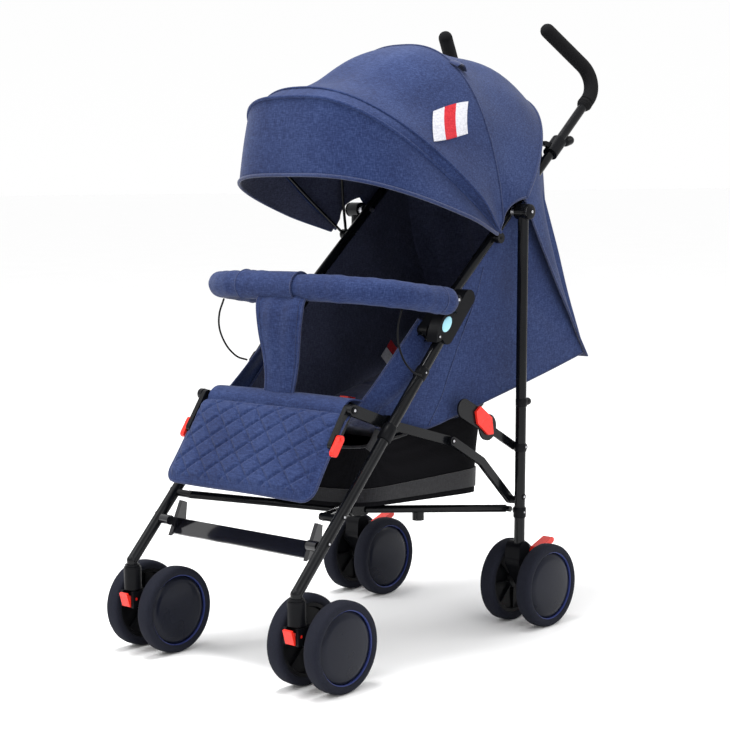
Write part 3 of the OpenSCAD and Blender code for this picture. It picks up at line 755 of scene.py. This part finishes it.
# ---------------------------------------------------------------- leg rest
def build_legrest():
    """The quilted pad, drawn on a grid that runs across by u and down by v."""
    down = unit([0, -88, -125.0])
    out = np.array([0, down[2], -down[1]])
    half, length = 162.0, 154.0
    rows, cols = 91, 181
    u = np.linspace(-1, 1, cols)[None, :]
    v = share(rows)
    x = u * half * MM * (1 - 0.02 * np.sin(np.pi * v))
    # Rounded corners: the rows pull in near the edges, more at the bottom than at the top
    for edge, radius in ((1 - v, 24.0), (v, 9.0)):
        near = np.clip(radius - edge * length, 0, radius)
        x = x * (1 - (radius - np.sqrt(radius ** 2 - near ** 2)) * 0.92 / half)
    along = (4 + length * v) * MM + 0 * u
    # Diamonds: two families of slanted lines, with a groove where either one passes
    pitch = 46.0
    p, q = x / MM / pitch, along / MM / (pitch * 0.86)
    a = np.abs(((p + q) % 1.0) - 0.5) * 2
    b = np.abs(((p - q) % 1.0) - 0.5) * 2
    groove = np.minimum(1 - a, 1 - b)
    inside = ease(1 - np.abs(u), 0.035, 0.09) * ease(v, 0.01, 0.05) * ease(1 - v, 0.04, 0.1)
    quilt = (1 - np.exp(-(groove / 0.16) ** 2)) * 3.6 * inside
    pucker = 0.5 * np.sin(p * 21 + q * 3) * np.sin(q * 17) * np.exp(-(groove / 0.2) ** 2) * inside
    crown = 10.5 * (1 - np.abs(u) ** 5) ** 0.7 * (1 - np.abs(2 * v - 1) ** 6) ** 0.7
    height = 2.0 + crown + quilt + pucker
    wave = 1.6 * np.sin(3.4 * u + 0.6) * v - 0.5
    # The top rolls back over the front of the seat
    roll = np.clip((0.16 - v) / 0.16, 0, 1) ** 2 * 6
    base = LEGREST * np.array([0, 1, 1]) + along[:, :, None] * down + np.stack([x, 0 * x, 0 * x], 2)
    base = base + (wave * MM)[:, :, None] * out
    front = base + ((height - roll) * MM)[:, :, None] * out
    back = base - ((1.5 + crown * 0.3 + roll) * MM)[:, :, None] * out
    pad = slab("legrest_cushion", front, back, DENIM, 80)
    finish_piece(pad, "legrest", replaced=["legrest_pad"])
    rim = np.vstack([base[10:, -1], base[-1, -2::-1], base[-2:9:-1, 0]]) + out * 0.4 * MM
    binding("legrest_piping", rim, 2.2, "legrest", sides=10)


# ---------------------------------------------------------------- seat and back
BACK_DIR = unit([0, 446, 116.0])
BACK_NORMAL = np.array([0, -BACK_DIR[2], BACK_DIR[1]])
# Both cushions are this wide from the middle to the side
CUSHION_HALF = 139


def on_back(x, along, height):
    """A point on the backrest, in millimetres from the recline's axis."""
    return RECLINE + BACK_DIR * along * MM + BACK_NORMAL * height * MM + np.array([x * MM, 0, 0])


def pad_solid(name, start, direction, length, thickness, lift):
    """A cushion blank: rounded edges, thinner towards its sides and ends."""
    direction = unit(direction)
    normal = np.array([0, -direction[2], direction[1]])
    rows, cols = 41, 49
    u = np.linspace(-1, 1, cols)[None, :]
    v = share(rows)
    shape = (1 - np.abs(u) ** 8) ** 0.5 * (1 - np.abs(2 * v - 1) ** 10) ** 0.5
    x = u * CUSHION_HALF * MM + 0 * v
    base = start + (v * length * MM)[:, :, None] * direction + np.stack([x, 0 * x, 0 * x], 2)
    top = base + ((lift + thickness * (0.12 + 0.88 * shape)) * MM)[:, :, None] * normal
    low = base + ((lift - 1.0 - 2.0 * shape) * MM)[:, :, None] * normal
    return slab(name, top, low, LINING, 80)


def quilt_lines(piece, origin, direction, spacing, first, last):
    """Presses sewn channels across a pad, at even spacing along its direction."""
    direction = unit(direction)
    normal = np.array([0, -direction[2], direction[1]])
    co = points_of(piece)
    along = (co - origin) @ direction / MM
    height = (co - origin) @ normal / MM
    nearest = np.clip(np.round((along - first) / spacing) * spacing + first, first, last)
    press = np.exp(-((along - nearest) / 5.0) ** 2) * 3.0 * ease(height, -2, 6)
    set_points(piece, co - normal * (press * MM)[:, None])


def build_seat():
    start, end = at(0, -148, 400), at(0, 24, 341)
    direction = end - start
    pad = pad_solid("seat_cushion", start, direction, np.linalg.norm(direction) / MM, 17, 0)
    inflate(pad)
    quilt_lines(pad, start, direction, 44, 30, 170)
    finish_piece(pad, "frame", ["seat_pad"])
    # Blue front edge of the seat, where the cloth rolls over towards the leg rest
    across = np.linspace(-1, 1, 41)
    profile = smooth_curve([(-100, 404), (-124, 419), (-148, 423), (-164, 415), (-170, 402)], 6)
    y, z = profile.T[:, :, None]
    grid = at(across * 148.0, y, z - 1.6 * across ** 2)
    sheet_piece("seat_front_roll", grid, 2.4)
    back = pad_solid("back_cushion", RECLINE + BACK_DIR * 14 * MM, BACK_DIR, 424, 16, -5)
    inflate(back)
    quilt_lines(back, RECLINE, BACK_DIR, 60, 70, 400)
    finish_piece(back, "backrest", ["backrest"])
    # The hem of the stiff board behind the pad
    rim = [(-134, 20), (-137, 120), (-137, 320), (-134, 424), (0, 430),
           (134, 424), (137, 320), (137, 120), (134, 20)]
    binding("back_hem", smooth_curve([on_back(x, d, -8) for x, d in rim], 8), 2.2, "backrest")
    build_harness()


def build_harness():
    # Both straps from their upper or outer end, in x and along the back, or in x, y and z
    run = ((52, 292), (49, 230), (45, 160), (38, 100), (31, 44))
    lap_run = ((128, 12, 377), (88, 8, 389), (50, 4, 393), (20, 3, 393))
    for sign, name in SIDES:
        path = [on_back(sign * x, d, 16.2) for x, d in run]
        piece = ribbon(f"shoulder_strap_{name}", smooth_curve(path, 6), 24 * MM, 2.2 * MM, BACK_NORMAL,
                       WEBBING)
        finish_piece(piece, "backrest", ["shoulder_straps"] if sign > 0 else ())
        pad_path = [point + BACK_NORMAL * lift * MM for point, lift in zip(path, (2.4, 3.4, 2.4))]
        pad = ribbon(f"shoulder_pad_{name}", smooth_curve(pad_path, 8), 40 * MM, 6.5 * MM, BACK_NORMAL,
                     DENIM)
        finish_piece(pad, "backrest")
        lap = [at(sign * x, y, z) for x, y, z in lap_run]
        piece = ribbon(f"lap_strap_{name}", smooth_curve(lap, 6), 22 * MM, 2.2 * MM, (0, -0.2, 1), WEBBING)
        finish_piece(piece, "frame")
        slider = frame_ring(f"strap_slider_{name}", at(sign * 62, 6, 394), 15, 9, 1.6)
        finish_piece(slider, "frame")
    shell = buckle_box("buckle_shell", at(0, 4, 391), (42, 42, 15), 23)
    finish_piece(shell, "frame", ["harness"])
    label = (("white", WHITE_CLOTH, (262, 428), (277, 443)), ("red", RED_CLOTH, (278, 444), (289, 455)))
    for name, material, low, high in label:
        ends = [at(-143.4, *low), at(-143.4, *high)]
        tab = ribbon(f"side_label_{name}", ends, 24 * MM, 1.4 * MM, (1, 0, 0.001), material)
        finish_piece(tab, "frame")


def frame_ring(name, centre, half_x, half_y, radius):
    """A small rectangular plastic slider."""
    corners = [(half_x, half_y), (0, half_y + 1), (-half_x, half_y),
               (-half_x, -half_y), (0, -half_y - 1), (half_x, -half_y)]
    path = [centre + np.array([x * MM, y * MM, 0]) for x, y in corners]
    dense = []
    for a, b in zip(path, path[1:] + path[:1]):
        dense += [a + (b - a) * t for t in np.linspace(0, 1, 4, endpoint=False)]
    return tube(name, dense, radius * MM, PLASTIC, 8, closed=True)


def buckle_box(name, centre, size, well):
    """A box with bevelled edges and a square well in its top, tilted about X."""
    work = bmesh.new()
    bmesh.ops.create_cube(work, size=1.0)
    bmesh.ops.scale(work, vec=[s * MM for s in size], verts=work.verts)
    top = max(work.faces, key=lambda f: f.calc_center_median().z)
    bmesh.ops.inset_region(work, faces=[top], thickness=(size[0] - well) / 2 * MM)
    bmesh.ops.translate(work, vec=(0, 0, -size[2] * 0.62 * MM), verts=top.verts)
    outer = [e for e in work.edges if e.calc_length() > (well + 1) * MM]
    bmesh.ops.bevel(work, geom=outer, offset=2.5 * MM, segments=4, affect="EDGES", profile=0.5)
    tilt = Matrix.Rotation(math.radians(-12), 3, "X")
    bmesh.ops.rotate(work, cent=(0, 0, 0), matrix=tilt, verts=work.verts)
    bmesh.ops.translate(work, vec=tuple(centre), verts=work.verts)
    return wrap(name, bpy.data.meshes.new(name), work, PLASTIC, sharp_deg=35)


# ---------------------------------------------------------------- sides, rear flap and basket
# The panel's upper and lower edges, in y and z, and the point its soft folds fan out from
PANEL_TOP = smooth_curve([(-104, 381), (-40, 444), (40, 514), (102, 576), (186, 646), (253, 702),
                          (320, 758)], 8)
PANEL_LOW = smooth_curve([(-92, 374), (-40, 366), (24, 357), (110, 371), (240, 396), (360, 420),
                          (470, 444)], 8)
FAN_Y, FAN_Z = 471, 438


def side_grid(sign, inset=0.0):
    rows, cols = 37, len(PANEL_TOP)
    flat = PANEL_TOP[None] * (1 - share(rows, 2)) + PANEL_LOW[None] * share(rows, 2)
    y, z = flat[:, :, 0], flat[:, :, 1]
    u = np.linspace(0, 1, cols)[None, :]
    w = share(rows)
    belly = np.sin(np.pi * u) * np.sin(np.pi * w)
    x = 148.6 + 9 * ease(z, 520, 640) * (1 - w) + 1.2 * belly - inset
    reach = np.hypot(y - FAN_Y, z - FAN_Z)
    angle = np.arctan2(z - FAN_Z, FAN_Y - y)
    folds = 2.2 * np.sin(angle * 17 + 0.7) * ease(reach, 20, 160) * (1 - ease(reach, 220, 380))
    x = x + folds * belly ** 0.5
    # Below the handle tube the panel has to stay inside the frame
    x = np.minimum(x, np.where(z < 500, 150.2, 170))
    return at(sign * x, y, z)


def build_sides():
    # A sewn line runs up from the seat, at this row and column, to the handle tube
    low_row, low_col, high_row, high_col = 35, 17, 3, 30
    for sign, name in SIDES:
        grid = side_grid(sign)
        sheet_piece(f"side_panel_{name}", grid, 1.4,
                    replaced=["side_panels"] if sign > 0 else ())
        sheet_piece(f"side_lining_{name}", side_grid(sign, 2.4), 1.0, LINING)
        for k, part in ((0, "top"), (-1, "low")):
            binding(f"side_{part}_binding_{name}", grid[k], 1.7)
        line = []
        for t in np.linspace(0, 1, 30):
            i = int(round(low_row * (1 - t) + high_row * t))
            j = int(round(low_col * (1 - t) + high_col * t))
            line.append(grid[i, j] + np.array([sign * 0.9 * MM, 0, 0]))
        stitch = smooth_curve(line[::6] + [line[-1]], 6)
        binding(f"side_stitch_{name}", stitch, 0.8, sides=6, round_ends=False)
        build_flap(sign, name)


def build_flap(sign, name):
    """The blue flap between the seat front and the front leg."""
    outer = smooth_curve([(-84, 384), (-28, 438), (32, 494), (62, 524)], 6)
    inner = smooth_curve([(-134, 408), (-86, 446), (-36, 490), (14, 534)], 6)
    flat = inner[None] * (1 - share(13, 2)) + outer[None] * share(13, 2)
    y, z = flat[:, :, 0], flat[:, :, 1]
    w = share(13)
    x = 146 + 17 * ease(w, 0.1, 1.0) * ease(z, 396, 440) + 3 * np.sin(np.pi * w)
    grid = at(sign * x, y, z)
    sheet_piece(f"front_flap_{name}", grid, 1.6)
    binding(f"front_flap_hem_{name}", grid[0], 1.6)


def build_rear_flap():
    """Cloth that hangs from the rear bow and closes the back down to the top of the backrest."""
    arch = hood_arch(REAR) - outward(hood_arch(REAR)) * 3 * MM
    cols, rows = len(arch), 34
    low = at(np.linspace(152, -152, cols), 474, 437)
    grid = arch[None] * (1 - share(rows, 2)) + low[None] * share(rows, 2)
    w = share(rows)
    u = np.linspace(0, 1, cols)[None, :]
    bow = np.sin(np.pi * w)
    folds = 5.5 * np.sin(u * 38) * bow ** 0.6 + 4 * np.sin(u * 17 + 2 * w) * bow
    grid[:, :, 1] += (folds - 8 * bow) * MM
    sheet_piece("rear_flap", grid, 1.6, DENIM, ["rear_panel"])
    inside = grid - np.array([0, 2.4, 1.0]) * MM
    sheet_piece("rear_flap_lining", inside, 1.2, LINING)
    binding("rear_flap_hem", grid[-1], 2.0)
    for k, name in ENDS:
        binding(f"rear_flap_edge_{name}", grid[:, k], 1.8)


def rounded_ring(half_x, y_front, y_rear):
    """A rectangle with round corners, as a superellipse of power 7."""
    t = np.linspace(0, 2 * math.pi, 96, endpoint=False)
    c, s = np.cos(t), np.sin(t)
    x = half_x * np.sign(c) * np.abs(c) ** (2 / 7)
    mid, half = (y_front + y_rear) / 2, (y_rear - y_front) / 2
    return x, mid + half * np.sign(s) * np.abs(s) ** (2 / 7)


def basket_wall(inset):
    """Rings of one face of the basket's wall, from its floor to its rim."""
    rings = []
    for s in np.linspace(0, 1, 15):
        pull = math.sin(math.pi * s) * 3
        half_x = 132 + 7 * s - pull - inset
        x, y = rounded_ring(half_x, -106 - 8 * s + pull + inset, 204 + 16 * s - pull - inset)
        floor_z = 242 - 0.055 * (y + 110)
        top_z = 340 + 0.12 * (y + 110)
        drape = 4 * np.cos(x / 148 * 3.1) * (1 - s)
        rings.append(at(x, y, floor_z * (1 - s) + top_z * s - drape + (inset if s == 0 else 0)))
    return rings


def floor_fan(ring):
    """Closes the floor with rings that shrink to the middle and sag."""
    centre, sag = ring.mean(0), np.array([0, 0, 9 * MM])
    return [centre + (ring - centre) * f - sag * (1 - f ** 2) for f in (0.85, 0.65, 0.45, 0.25, 0.08)]


def build_basket():
    wall = basket_wall(0)
    outer, inner = (floor_fan(rings[0])[::-1] + rings for rings in (wall, basket_wall(1.6)))
    shell = skin("basket_shell", outer + inner[::-1], NETTING, sharp_deg=70)
    rim = tube("basket_rim", wall[-1], 2.4 * MM, WEBBING, 8, closed=True)
    edges = [ring + outward_flat(ring) * 1.2 * MM for ring in (wall[1], wall[4])]
    pieces = [shell, rim, band_between("basket_band", *edges, GREY_BAND)]
    for sign, name in SIDES:
        front = [at(sign * 142, -104, 338), at(sign * 146, -96, 352), at(sign * 149, -88, 368)]
        pieces.append(ribbon(f"basket_strap_front_{name}", smooth_curve(front, 5), 16 * MM, 1.8 * MM,
                             (1, 0, 0), WEBBING))
    for piece in pieces:
        finish_piece(piece, "frame", ["basket"] if piece is shell else ())
        tuple(at(0, 0, 352))
        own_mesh(piece)


def outward_flat(ring):
    """Level directions away from the middle of a ring."""
    d = ring - ring.mean(0)
    d[:, 2] = 0
    return unit_rows(d)


def band_between(name, low, high, material):
    grid = np.array([low * (1 - t) + high * t for t in np.linspace(0, 1, 5)])
    out = np.array([outward_flat(r) for r in grid]) * 0.9 * MM
    return skin(name, [*(grid + out), *(grid - out)[::-1]], material, True, 50)


# ---------------------------------------------------------------- wheels
# Closed [x, r] profiles for lathe, in millimetres, with x towards the visible side of the wheel
TYRE_PROFILE = [(-8, 56), (-12.2, 57), (-13.2, 60), (-13.4, 64), (-12, 67.6), (-9, 69.3), (-4.5, 69.9),
                (0, 70), (4.5, 69.9), (9, 69.3), (12, 67.6), (13.4, 64), (13.2, 60), (12.2, 57), (8, 56)]
CAP_PROFILE = [(2, 0.3), (14.6, 0.3), (14.5, 9), (14.1, 20), (13.3, 32), (12.1, 43), (11.2, 49),
               (9.6, 51.5), (8.6, 53.4), (7.6, 55), (6, 56.3), (2, 56.3)]
RING_PROFILE = [(8.2, 55.2), (10.6, 55.6), (11.6, 57.2), (11.4, 59.2), (10.2, 60), (8.2, 60)]
HUB_PROFILE = [(-1.9, 4.2), (-9.5, 4.2), (-9.5, 13), (-4, 15), (-4, 49), (-9.4, 51), (-9.8, 56.2),
               (-1.9, 56.2)]


def build_wheels():
    for node in WHEELS:
        centre = np.array(JOINTS[node + "_spin"]["pos_m"])
        side = 1 if ("left" in node) == ("outer" in node) else -1
        finish_piece(lathe(f"tyre_{node}", TYRE_PROFILE, centre, TYRE, 96, 60), node, [node])
        for part, profile, material, segments in (("disc", CAP_PROFILE, DISC, 96),
                                                  ("ring", RING_PROFILE, RING, 96),
                                                  ("hub", HUB_PROFILE, PLASTIC, 72)):
            piece = lathe(f"{part}_{node}", profile, centre, material, segments, 35, side)
            finish_piece(piece, node)
        build_ribs(node, centre, side)


def build_ribs(node, centre, side):
    """Eight straight ribs between the hub and the rim on the inner face."""
    verts, faces = [], []
    for k in range(8):
        a = 2 * math.pi * k / 8
        d = np.array([0, math.cos(a), math.sin(a)])
        t = np.array([0, -math.sin(a), math.cos(a)])
        base = len(verts)
        for x in (-3.9, -8.2):
            for r in (14.0, 50.5):
                for w in (-1.3, 1.3):
                    taper = x if r < 30 or x > -4 else x + 1.2
                    verts.append(centre + np.array([side * taper * MM, 0, 0]) + d * r * MM + t * w * MM)
        faces += [tuple(base + i for i in f) for f in
                  ((0, 1, 3, 2), (4, 6, 7, 5), (0, 4, 5, 1), (2, 3, 7, 6), (0, 2, 6, 4), (1, 5, 7, 3))]
    ribs = mesh_object(f"ribs_{node}", verts, faces, PLASTIC, smooth=False)
    finish_piece(ribs, node)


# ---------------------------------------------------------------- frame details
def build_grips():
    for sign, side in SIDES:
        corner, foot, end = at(sign * 158, 500.5, 918), at(sign * 158, 7.7, 505), at(sign * 114, 406, 1006)
        u, v = unit(foot - corner), unit(end - corner)
        half = math.acos(float(np.dot(u, v))) / 2
        bend = 42 * MM
        middle = corner + unit(u + v) * bend / math.sin(half)
        e1 = unit(corner + u * bend / math.tan(half) - middle)
        arc = [middle + bend * (e1 * math.cos(t) - u * math.sin(t))
               for t in np.linspace(0, math.pi - 2 * half, 18)]
        start = corner + u * 60 * MM
        dense = [start + (arc[0] - start) * t for t in np.linspace(0, 1, 6, endpoint=False)]
        dense += arc + [arc[-1] + (end - arc[-1]) * t for t in np.linspace(0.1, 1, 14)]
        grip = tube(f"grip_foam_{side}", dense, 12.7 * MM, GRIP, 32, round_ends=True)
        finish_piece(grip, "frame", [f"grip_{side}"])
        for k in (0, 1):
            step = start - u * (2 + 5 * k) * MM
            radius = (13.1 - 0.4 * k) * MM
            ring = tube(f"grip_collar_{side}_{k}", [step, step + u * 3 * MM], radius, GRIP, 32)
            finish_piece(ring, "frame")


def rivet(name, point, body, radius, height, sign):
    """A black washer with a bright rivet head in its middle."""
    finish_piece(dome(name + "_washer", point, radius * 1.25, height * 0.55, PLASTIC, sign), body)
    finish_piece(dome(name, point, radius * 0.62, height, STEEL, sign), body)


# Rivets on the left side: name, place, body, radius and height; the right side mirrors them
RIVETS = (("badge_rivet_top_{}", (197.0, 42, 546.5), "frame", 3.4, 1.6),
          ("badge_rivet_low_{}", (197.0, 6, 509.5), "frame", 3.4, 1.6),
          ("bar_rivet_{}", (208, 40, 566), "frame", 4.5, 2.5),
          ("clip_rivet_{}", (191, -22, 455), "frame", 3.6, 2.2),
          ("rail_rivet_{}", (169, -92, 382), "frame", 4.6, 2.2),
          ("legrest_rivet_{}", (170, -165, 409), "frame", 4.6, 2.4),
          ("knee_rivet_{}", (169, 74, 333), "drop_links", 4.4, 2.2),
          ("brace_rivet_{}", (195, 233, 306), "rear_legs", 4.2, 2.2),
          ("drop_rivet_{}", (195, 228.5, 222), "rear_legs", 4.2, 2.2),
          ("arm_rivet_{}", (195, 227.8, 196), "rear_legs", 4.2, 2.2),
          ("leg_rivet_{}_0", (191, -214, 255), "frame", 3.8, 2.2),
          ("leg_rivet_{}_1", (191, -248, 219.6), "frame", 3.8, 2.2))
# The middle lines of the legs: x, y at the foot, y per z, and the foot's z
FRONT_LEG = (182, -310.5, 0.962, 154)
REAR_LEG = (186, 226, (239 - 226) / (699 - 100), 100)


def build_hardware():
    for sign, side in SIDES:
        def p(x, y, z):
            return at(sign * x, y, z)

        def knob(name, ends, radius, body):
            path = [p(*end) for end in ends]
            piece = tube(f"{name}_{side}", path, radius * MM, PLASTIC, 20, round_ends=True)
            finish_piece(piece, body)

        # Badge on the leg joint: plain blue oval and two rivets
        oval = dome(f"badge_{side}", p(197.2, 24, 528), 9.5, 1.6, BADGE, sign, 40)
        stretch_along(oval, p(197.2, 24, 528), 46, 1.5)
        finish_piece(oval, "frame")
        for name, place, body, radius, height in RIVETS:
            rivet(name.format(side), p(*place), body, radius, height, sign)
        sleeve(f"leg_clamp_{side}", sign, FRONT_LEG, 358, 378, 11.6, "frame")
        sleeve(f"wire_clip_{side}", sign, FRONT_LEG, 446, 460, 10.8, "frame")
        sleeve(f"rear_band_{side}", sign, REAR_LEG, 374, 388, 9.9, "rear_legs", 0.9)
        sleeve(f"rear_collar_{side}", sign, REAR_LEG, 298, 312, 10.4, "rear_legs")
        sleeve(f"rear_low_collar_{side}", sign, REAR_LEG, 186, 204, 10.8, "rear_legs")
        knob("rear_knob", [(186, 240, 381), (186, 250, 381)], 6.5, "rear_legs")
        cap = dome(f"top_hinge_cap_{side}", p(201.2, 239, 699), 12.5, 3.2, PLASTIC, sign, 48)
        finish_piece(cap, "frame")
        rivet(f"top_hinge_rivet_{side}", p(204.2, 239, 699), "frame", 4.6, 1.8, sign)
        knob("clamp_knob", [(158, 398, 814), (158, 410, 817)], 8, "frame")


def stretch_along(obj, centre, direction_deg, factor):
    """Stretches a flat round badge into an oval along a direction in the Y-Z plane."""
    d = np.array([0, math.cos(math.radians(direction_deg)), math.sin(math.radians(direction_deg))])
    co = points_of(obj)
    set_points(obj, co + d * ((co - centre) @ d * (factor - 1))[:, None])


def sleeve(name, sign, leg, low, high, radius, body, out=0.0):
    """A short plastic sleeve round a leg, between two heights."""
    x, foot_y, slope, foot_z = leg
    path = [at(sign * (x + out), foot_y + slope * (z - foot_z), z)
            for z in (low, low + 1.5, (low + high) / 2, high - 1.5, high)]
    radii = np.array([radius - 1, radius, radius, radius, radius - 1]) * MM
    finish_piece(tube(name, path, radii, PLASTIC, 28), body)


def build_wires():
    """The two thin steel wires that hold the bar to the front legs, in black sleeves."""
    points = ((196, -84, 558), (197, -94, 534), (197, -94, 508), (196, -80, 480), (195, -58, 460),
              (193, -36, 452))
    for sign, side in SIDES:
        path = smooth_curve([at(sign * x, y, z) for x, y, z in points], 8)
        wire = tube(f"wire_{side}", path, 1.6 * MM, PLASTIC, 10, round_ends=True)
        finish_piece(wire, "frame", ["bar_wires"] if sign > 0 else ())


def dress_cad():
    """Gives every CAD node that stays visible its material."""
    looks = {"frame": POWDER, "foam": GRIP, "plastic": PLASTIC, "gloss": GLOSS, "red": RED, "steel": STEEL,
             "wheel": PLASTIC, "navy": DENIM, "lining": LINING, "basket": NETTING, "webbing": WEBBING}
    slots = {s["node"]: s["material_slot"] for s in frame["record"]["subparts"]}
    for name, obj in NODES.items():
        obj.data.materials.clear()
        obj.data.materials.append(looks[slots[name]])
        obj.data.shade_smooth()
        obj.data.set_sharp_from_angle(angle=math.radians(30))


add_camera()
add_studio()
dress_cad()
build_seat()
build_hood()
build_bar()
build_crotch_strap()
build_legrest()
build_sides()
build_rear_flap()
build_basket()
build_wheels()
build_grips()
build_hardware()
build_wires()
